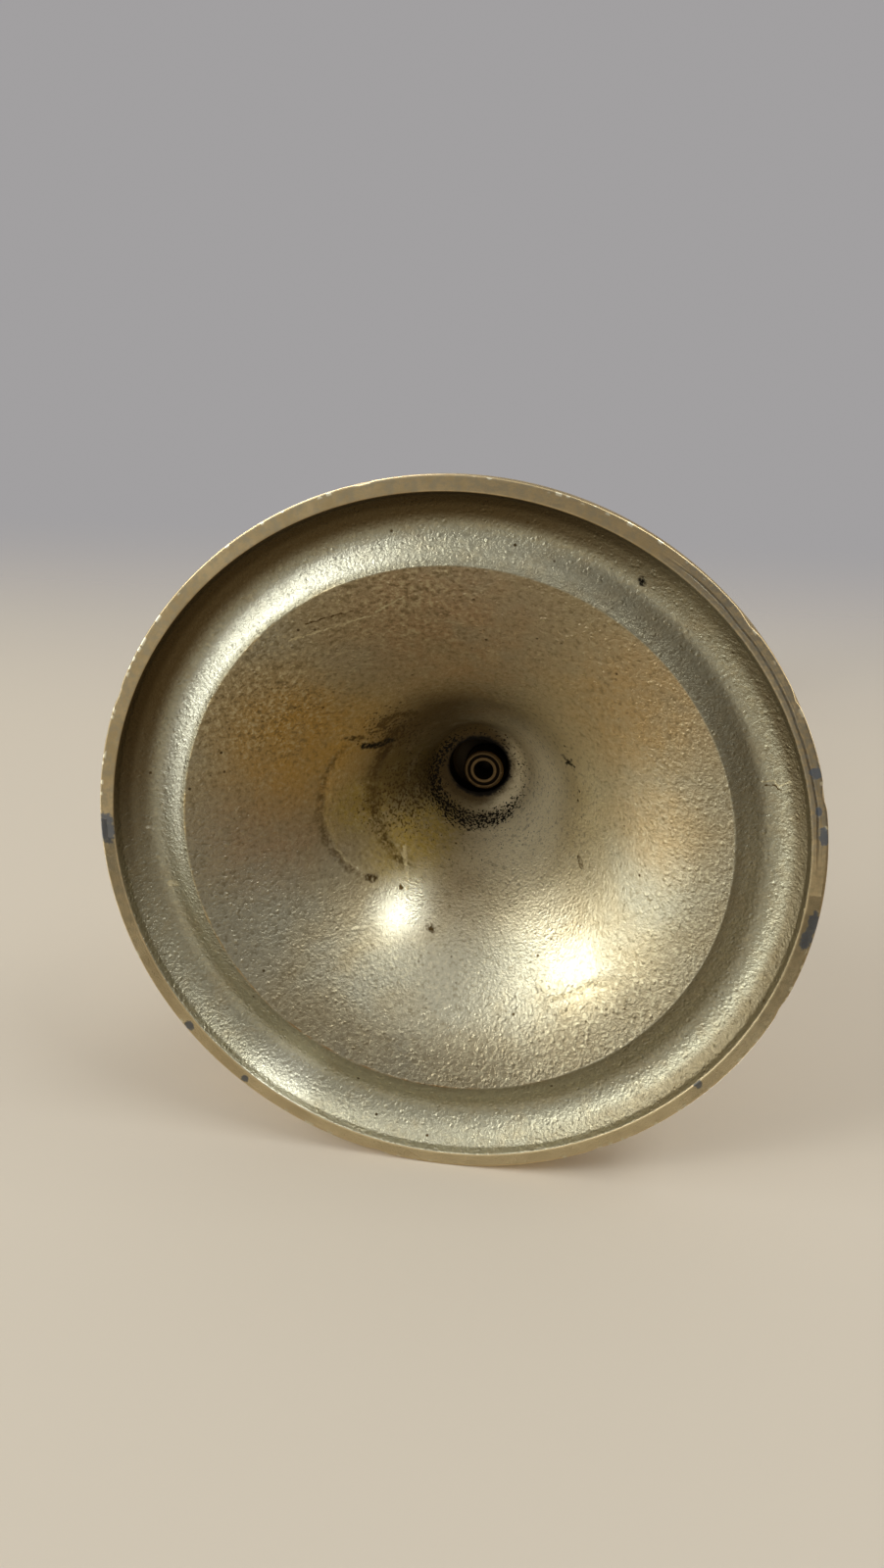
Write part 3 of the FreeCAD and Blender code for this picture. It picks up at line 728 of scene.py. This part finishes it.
def foot_outline():
    """The casting's outline. The hollow is as cast; the rim, the outside and the bore are machined."""
    o = Outline(57.5, 0, step=1.8).paint(FACED)
    o.line(60, 0).paint(TURNED)
    o.line(60, 2.6).arc(53.3, 9.4, 6.7).arc(50.6, 8.75, 6.0)
    o.line(46.2, 6.5).line(44.2, 6.5).line(44.2, 7.7)
    o.arc(8.8, 54.5, -80.1).arc(11.6, 57, -2.7).line(12, 57).line(12, 60)
    o.line(BORE, 60).paint(BORED).line(BORE, 50.4).line(6, 50.4).line(6, 46.4).paint(CAST)
    o.line(6.94, 46.4).arc(10.2, 44.17, -3.5)
    o.step = 0.55
    o.arc(46.2, 3.3, 79.2).line(49.9, 4.95).arc(53.2, 4.9, -3.92).arc(57.1, 1.57, -10.0)
    return o


def cast_shape(places, points, rings, kinds):
    """The unevenness that sand casting leaves in the hollow, and a pit that isn't quite in the centre."""
    for point, ring, kind in zip(points, rings, kinds):
        radius, height = point
        # The pit is moved aside and squashed, the most near the axis and not at all 12 mm from it.
        if kind in (CAST, BORED) and height > 40 and radius > 4.5:
            share = min(1, (12 - min(radius, 12)) / 5)
            places[ring, 0] -= 1.0 * share
            places[ring, 1] *= 1 - 0.08 * share
            places[ring, 1] -= 0.55 * share
        if kind in (FACED, TURNED) and height < 1.0 and radius > 59:
            for index in ring:
                x, y = places[index, :2]
                places[index, :2] *= 1 - nick_depth(math.degrees(math.atan2(y, x)) % 360) / radius
        if kind != CAST or radius > 57.0 or radius < 9:
            continue
        calm = 0.35 if radius > DISH_RADIUS else 1.0
        for index in ring:
            x, y, z = places[index]
            where = Vector((x, y, z))
            places[index, 2] += calm * (0.15 * noise.noise(where / 13) + 0.02 * noise.noise(where / 4))
            places[index, 2] += 0.15 * math.exp(-(fold_distance(x, y) / 0.9) ** 2)
            if radius < 30:
                wander = 0.9 * noise.noise(where / 3.5)
                places[index, 2] += flow_marks(radius + wander, math.degrees(math.atan2(y, x)) % 360)
    return places


# Places along the fold, in plan.
FOLD = ((17.2, 30.9), (22.2, 28.2), (24.8, 26.6), (28.4, 25.4))


def fold_distance(x, y):
    """How far a place in plan is from the short fold in the skin, low on the right."""
    here = Vector((x, y, 0))
    places = [Vector((*place, 0)) for place in FOLD]
    gaps = []
    for start, end in zip(places, places[1:]):
        share = intersect_point_line(here, start, end)[1]
        gaps.append((here - start.lerp(end, min(1, max(0, share)))).length)
    return min(gaps)


# Each dent's middle and width in degrees, and its depth.
DENTS = ((256.4, 1.3, 0.22), (318, 1.6, 0.35), (331, 1.0, 0.30), (346, 1.4, 0.40),
         (101, 0.9, 0.35), (203, 1.2, 0.25), (62, 0.9, 0.20), (22, 1.2, 0.25))


def nick_depth(angle):
    """How far the rim's outer edge is dented at an angle in degrees."""
    return sum(depth * math.exp(-((angle - middle) / width) ** 2) for middle, width, depth in DENTS)


def flow_marks(radius, angle):
    """Two curved creases where the metal ran together as it was poured: a thin lip, and a dip inside it."""
    height = 0
    for (crease, droop, middle, spread), dip in ((OUTER_CREASE, 0.26), (INNER_CREASE, 0.34)):
        turn = (angle - middle) / spread
        if abs(turn) >= 1:
            continue
        fade = (1 - turn ** 4) ** 2
        gap = crease - droop * turn * turn - radius
        height -= 0.06 * fade * math.exp(-(gap / 0.4) ** 2)
        if gap > 0:
            height += dip * fade * (1 - math.exp(-gap / 0.5)) * math.exp(-gap / 3.5)
    return height


# ---------------------------------------------------------------- the stem and the nozzle


def bead_disc_outline(flat, bead, height):
    """A disc with a half-round bead about its edge; flat is the radius of its faces."""
    o = Outline(BORE, 0, step=1.5)
    o.line(flat, 0).line(flat, height / 2 - bead)
    o.arc(flat + bead, height / 2, bead).arc(flat, height / 2 + bead, bead)
    return o.line(flat, height).line(BORE, height)


def baluster_outline(foot, fillet, neck, belly, throat, head, height):
    """neck, belly, throat and head are each (radius, height)."""
    o = Outline(BORE, 0, step=1.0)
    o.line(foot, 0).line(foot, fillet).arc(*neck, -(neck[1] - fillet))
    o.ogee(*belly).ogee(*throat).arc(*head, -(head[1] - throat[1]))
    return o.line(head[0], height).line(BORE, height)


def knop_outline():
    o = Outline(BORE, 0, step=1.0)
    o.line(10.2, 0).line(10.2, 1.5).line(8.6, 1.5).upright(15.8, 10.05)
    o.line(15.35, 10.5).line(15.8, 10.95).upright(8.6, 19.5)
    return o.line(10.2, 19.5).line(10.2, 21).line(BORE, 21)


def socket_outline():
    o = Outline(BORE, 0, step=1.0)
    o.line(8.6, 0).line(8.6, 1.4).arc(7.4, 3.4, -2.0).upright(17.4, 15)
    o.ogee(15.6, 28).ogee(17.6, 31.2)
    return o.line(17.6, 34).line(13.1, 34).line(13.1, 8).line(BORE, 8)


def pan_outline():
    o = Outline(12.82, 0, step=1.2)
    o.line(19, 0).arc(35, 3.3, 56).line(35.5, 3.3).arc(36.6, 4.4, 1.1).arc(35.5, 5.5, 1.1)
    return o.line(34.45, 5.5).arc(19, PAN_THICKNESS, -54).line(12.82, PAN_THICKNESS)


def tube_outline(seat):
    """The candle tube, closed below. The pan lies under the bead that starts at the height seat."""
    o = Outline(0, 0, step=1.2)
    o.line(11.6, 0).line(12.8, 1.2).line(12.8, seat).line(13.8, seat)
    o.arc(14.9, seat + 1.1, 1.1).arc(13.8, seat + 2.2, 1.1).line(13.2, seat + 2.2)
    o.line(13.2, seat + 4.2).arc(14.4, seat + 5.4, -2.2).line(14.4, seat + 6.6)
    return o.line(11.9, seat + 6.6).line(11.2, seat + 5.9).line(11.2, 2).line(0, 2)


def rod_outline(height):
    """The rod, with a ring and a centre hole in its lower end."""
    o = Outline(2.0, 0, step=1.5)
    o.line(2.6, 0).line(2.8, 0.25).line(3.05, 0.25).line(3.25, 0).line(3.75, 0).line(4, 0.25)
    o.line(4, height - 0.5).line(3.5, height).line(0, height)
    return o.line(0, 4.6).paint(1).line(1, 4.6).line(1, 2.25)


def piece_for(node, name, outline, body, materials, segments=STEM_SEGMENTS, soft=0.25, shape=None):
    """A finished piece that stands where its CAD node does and replaces it."""
    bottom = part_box(node)[0].z
    piece = lathe(name, outline, segments, soft=soft, lift=bottom / MM, shape=shape)
    for material in materials:
        piece.data.materials.append(material)
    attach(piece, body)
    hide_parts(node)
    return piece


cast = cast_underside()
rim = faced_rim()
foot_turned = turned_brass("foot_turned_brass", AGED_BRASS, BROWNED_BRASS, 0.85, 0.26)
stem_turned = turned_brass("stem_turned_brass", AGED_BRASS, BROWNED_BRASS, 0.75, 0.22)
nozzle_turned = turned_brass("nozzle_turned_brass", RUBBED_BRASS, BROWNED_BRASS, 0.65, 0.22)
# The pit's walls and the rod's centre hole: soot with painted shade, near black.
sooty_and_shaded = turned_brass("pit_sooty_shaded_brass", PIT_BROWN, SOOT, 0.8, 0.55)

foot = piece_for("foot", "foot_casting", foot_outline(), "candlestick",
                 [cast, rim, foot_turned, sooty_and_shaded], FOOT_SEGMENTS, soft=0.3, shape=cast_shape)
rod_low, rod_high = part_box("tie_rod")
rod = piece_for("tie_rod", "centre_drilled_rod", rod_outline((rod_high.z - rod_low.z) / MM),
                "candlestick", [rod_end(), sooty_and_shaded], ROD_SEGMENTS, soft=0.06)
stem = [
    piece_for(node, name, outline, "candlestick", [stem_turned])
    for node, name, outline in (
        ("base_collar", "base_collar_bead", bead_disc_outline(11.4, 2.4, 6)),
        ("lower_baluster", "lower_baluster_vase",
         baluster_outline(10.4, 1.6, (6.8, 6.4), (13.8, 25.6), (7.2, 37), (9.8, 40.2), 42)),
        ("centre_knop", "centre_knop_ball", knop_outline()),
        ("upper_baluster", "upper_baluster_vase",
         baluster_outline(9.8, 1.5, (6.4, 5.6), (9.6, 14), (6, 29), (8.8, 33.2), 35)),
        ("neck_ring", "neck_ring_disc", bead_disc_outline(11.2, 1.5, 4)),
        ("candle_socket", "candle_socket_cup", socket_outline()),
    )
]
pan_seat = (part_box("drip_pan")[0].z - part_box("candle_tube")[0].z) / MM + PAN_THICKNESS
nozzle = [
    piece_for("drip_pan", "drip_pan_dish", pan_outline(), "nozzle", [nozzle_turned]),
    piece_for("candle_tube", "candle_tube_cup", tube_outline(pan_seat),
              "nozzle", [nozzle_turned]),
]

# ---------------------------------------------------------------- camera

CAMERA_PLACE = Vector((27.9, -71.5, -177.1)) * MM
CAMERA_RIGHT = Vector((0.9857, -0.0197, 0.1671))
CAMERA_BACK = Vector((0.1524, -0.3156, -0.9366))
CAMERA_LENS = 27.05


def add_camera():
    """The view up into the foot, with the object's axis tilted from the line of sight."""
    data = bpy.data.cameras.new("main_camera")
    data.lens = CAMERA_LENS
    data.sensor_width = 36
    data.clip_start = 0.01
    data.clip_end = 20
    camera = bpy.data.objects.new("main_camera", data)
    back = CAMERA_BACK.normalized()
    right = (CAMERA_RIGHT - back * CAMERA_RIGHT.dot(back)).normalized()
    up = back.cross(right)
    turned = Matrix((right, up, back)).transposed().to_4x4()
    camera.matrix_world = Matrix.Translation(CAMERA_PLACE) @ turned
    bpy.context.scene.collection.objects.link(camera)
    bpy.context.scene.camera = camera


add_camera()

# ---------------------------------------------------------------- stage and lights

FOOT_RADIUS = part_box("foot")[1].x
LEAN = math.radians(6.7)
PALE = (0.60, 0.53, 0.45)
OVERHEAD = (0, -math.cos(LEAN), -math.sin(LEAN))


def collection_of(name, objects):
    """A collection that only says which objects a light reaches."""
    group = bpy.data.collections.new(name)
    for item in objects:
        group.objects.link(item)
    return group


def flat_sheet(name, corners, material):
    mesh = bpy.data.meshes.new(name)
    mesh.from_pydata([tuple(c) for c in corners], [], [(0, 1, 2, 3)])
    mesh.materials.append(material)
    sheet = bpy.data.objects.new(name, mesh)
    bpy.context.scene.collection.objects.link(sheet)
    return sheet


def hide_from_light(sheet):
    """The sheet is seen and shaded, and blocks and colours nothing else."""
    sheet.visible_diffuse = False
    sheet.visible_glossy = False
    sheet.visible_transmission = False
    sheet.visible_volume_scatter = False
    sheet.visible_shadow = False


def faded_matt(s, share):
    """A pale matt surface that turns clear as share goes from 0 to 1."""
    matt = s.node("ShaderNodeBsdfDiffuse")
    matt.inputs["Color"].default_value = as_colour(PALE)
    clear = s.node("ShaderNodeBsdfTransparent")
    mixed = s.node("ShaderNodeMixShader", Fac=share)
    s.give(mixed.inputs[1], matt.outputs[0])
    s.give(mixed.inputs[2], clear.outputs[0])
    s.give(s.output.inputs["Surface"], mixed.outputs[0])


def standing_floor():
    """The floor that the upright candlestick stands on. It is clear from below."""
    s = Shader("standing_floor")
    below = s.node("ShaderNodeNewGeometry").outputs["Backfacing"]
    faded_matt(s, s.most(below, s.ramp(s.radius, 0.35, 2.2)))
    reach = 6  # metres each way
    corners = [(-reach, -reach, 0), (reach, -reach, 0), (reach, reach, 0), (-reach, reach, 0)]
    floor = flat_sheet("standing_floor", corners, s.material)
    hide_from_light(floor)
    return floor


def lying_floor():
    """The floor that the foot lies on in the main view, where the camera is below the standing floor.

    Its part below the standing floor is seen directly, and its part above is seen through that
    floor. Seen in any other way it is clear.
    """
    s = Shader("lying_floor")
    behind = s.node("ShaderNodeNewGeometry").outputs["Backfacing"]
    passed = s.node("ShaderNodeLightPath").outputs["Transparent Depth"]
    direct = s.math("LESS_THAN", passed, 0.5)
    above = s.math("GREATER_THAN", s.z, 0.0)
    same = s.math("SUBTRACT", 1.0, s.math("ABSOLUTE", s.math("SUBTRACT", direct, above)))
    hidden = s.most(behind, same)
    far = s.ramp(s.z, 0.16, 0.50)
    faded_matt(s, s.most(hidden, far))
    along = Vector(OVERHEAD).cross(Vector((1, 0, 0)))
    touch = Vector((0, FOOT_RADIUS, 0))
    near_end = touch - along * 1.5
    far_end = touch + along * 1.3
    side = Vector((2.5, 0, 0))
    corners = [near_end - side, near_end + side, far_end + side, far_end - side]
    floor = flat_sheet("lying_floor", corners, s.material)
    hide_from_light(floor)
    return floor


def area_light(name, towards, distance, size, radiance, colour, receivers, target=(0, 0, 0.1), up=(0, 0, 1)):
    """A soft rectangular light that shines on the target from the direction given, as bright as radiance."""
    data = bpy.data.lights.new(name, "AREA")
    data.shape = "RECTANGLE"
    data.size, data.size_y = size
    data.energy = radiance * math.pi * size[0] * size[1]
    data.color = colour
    light = bpy.data.objects.new(name, data)
    back = Vector(towards).normalized()
    side = Vector(up).cross(back).normalized()
    place = Vector(target) + back * distance
    turned = Matrix((side, back.cross(side), back)).transposed().to_4x4()
    light.matrix_world = Matrix.Translation(place) @ turned
    bpy.context.scene.collection.objects.link(light)
    light.visible_camera = False
    light.light_linking.receiver_collection = receivers


def room_direction(height, turn):
    """The way to something above the lying floor and right of the camera, both in degrees."""
    up = Vector(OVERHEAD)
    right = Vector((1, 0, 0))
    front = right.cross(up)
    height = math.radians(height)
    turn = math.radians(turn)
    return up * math.sin(height) + (right * math.sin(turn) + front * math.cos(turn)) * math.cos(height)


def under_light(name, height, turn, size, radiance):
    """A light for the foot's hollow, 1.2 m away."""
    area_light(name, room_direction(height, turn), 1.2, size, radiance, DAYLIGHT,
               under_group, target=(0, 0, 0), up=OVERHEAD)


def add_world():
    """A pale backdrop to the camera. Reflections see a room: dim and warm low down, bright overhead."""
    world = bpy.data.worlds.new("studio")
    world.use_nodes = True
    tree = world.node_tree
    background = tree.nodes["Background"]
    direction = tree.nodes.new("ShaderNodeTexCoord")
    height = tree.nodes.new("ShaderNodeVectorMath")
    height.operation = "DOT_PRODUCT"
    height.inputs[1].default_value = OVERHEAD
    tree.links.new(direction.outputs["Generated"], height.inputs[0])
    share = tree.nodes.new("ShaderNodeMapRange")
    share.inputs["From Min"].default_value = -1
    tree.links.new(height.outputs["Value"], share.inputs["Value"])
    ramp = tree.nodes.new("ShaderNodeValToRGB")
    tree.links.new(share.outputs["Result"], ramp.inputs["Fac"])
    while len(ramp.color_ramp.elements) < len(ROOM):
        ramp.color_ramp.elements.new(1)
    for element, (level, colour) in zip(ramp.color_ramp.elements, ROOM):
        element.position = (level + 1) / 2
        element.color = as_colour(colour)
    rays = tree.nodes.new("ShaderNodeLightPath")
    mix = tree.nodes.new("ShaderNodeMix")
    mix.data_type = "RGBA"
    tree.links.new(ramp.outputs["Color"], mix.inputs[6])
    mix.inputs[7].default_value = as_colour(BACKDROP)
    tree.links.new(rays.outputs["Is Camera Ray"], mix.inputs[0])
    tree.links.new(mix.outputs[2], background.inputs["Color"])
    bpy.context.scene.world = world


DAYLIGHT = (0.965, 1.0, 0.955)
STUDIO = (1.0, 0.98, 0.94)
BACKDROP = (0.36, 0.35, 0.355)
# What reflections see from below the object's table to the ceiling, by the cosine from straight up.
ROOM = [(-1.0, (0.285, 0.235, 0.165)), (-0.90, (0.285, 0.235, 0.165)), (-0.55, (0.335, 0.275, 0.185)),
        (-0.25, (0.215, 0.175, 0.12)), (0.05, (0.23, 0.20, 0.16)), (0.15, (0.26, 0.25, 0.23)),
        (0.50, (0.34, 0.335, 0.32)), (0.80, (0.68, 0.67, 0.64)), (1.0, (0.75, 0.74, 0.71))]

add_world()
floor_standing = standing_floor()
floor_lying = lying_floor()
under_group = collection_of("lit_from_below", [foot, rod, floor_lying])
upright_group = collection_of("lit_from_above", [foot, rod, *stem, *nozzle, floor_standing])

under_light("left_window", 33, -56, (0.32, 0.72), 5.8)
under_light("left_window_glow", 20, -74, (0.80, 0.95), 1.95)
under_light("left_table_glow", -14, -72, (0.75, 0.65), 1.60)
under_light("front_table_glow", -24, -6, (0.95, 0.50), 0.45)
under_light("front_room_glow", 4, -25, (0.45, 0.40), 0.55)
under_light("right_window", 57, 84, (0.76, 0.32), 6.8)
area_light("key", (-0.6, -0.7, 0.75), 0.9, (0.5, 0.6), 9, STUDIO, upright_group)
area_light("fill", (0.9, -0.35, 0.45), 1.0, (0.6, 0.6), 3, STUDIO, upright_group)
area_light("back", (0.2, 0.9, 0.8), 1.0, (0.7, 0.4), 5, STUDIO, upright_group)

view = bpy.context.scene.view_settings
view.view_transform = "Standard"
view.look = "None"
